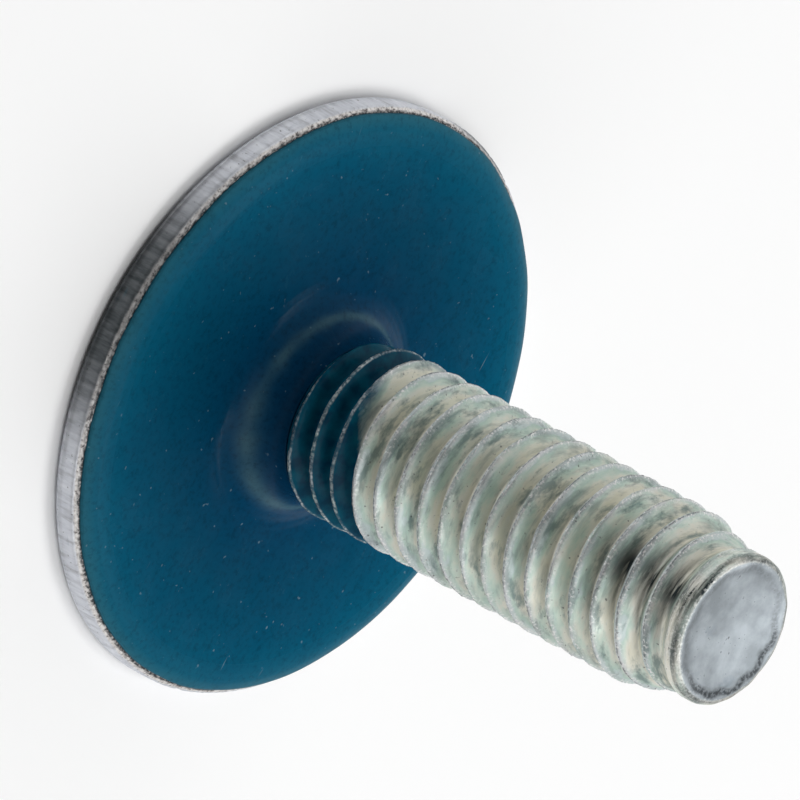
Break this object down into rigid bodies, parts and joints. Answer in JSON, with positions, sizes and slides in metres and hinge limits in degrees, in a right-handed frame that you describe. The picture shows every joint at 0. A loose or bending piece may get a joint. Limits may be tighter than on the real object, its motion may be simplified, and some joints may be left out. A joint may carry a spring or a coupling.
{
  "type": "sealed bolt",
  "caption": "Zinc-plated steel bolt with a thin, flat round head and a right-hand coarse thread, with a blue seal bonded under the head and round the foot of the thread.",
  "frame": {"origin": "centre of the head's outer face, on the surface that the bolt stands on", "axes": "+Z along the shank, from the head to the tip; +X and +Y are free, because only the thread's turn tells them apart"},
  "size_m": [0.0262, 0.0262, 0.0263],
  "materials": {
    "zinc_plated_steel": "satin zinc plating with a faint green and yellow passivation",
    "seal_compound": "glossy translucent blue"
  },
  "bodies": {
    "root": {"bolt": "zinc_plated_steel", "seal": "seal_compound"}
  },
  "joints": []
}
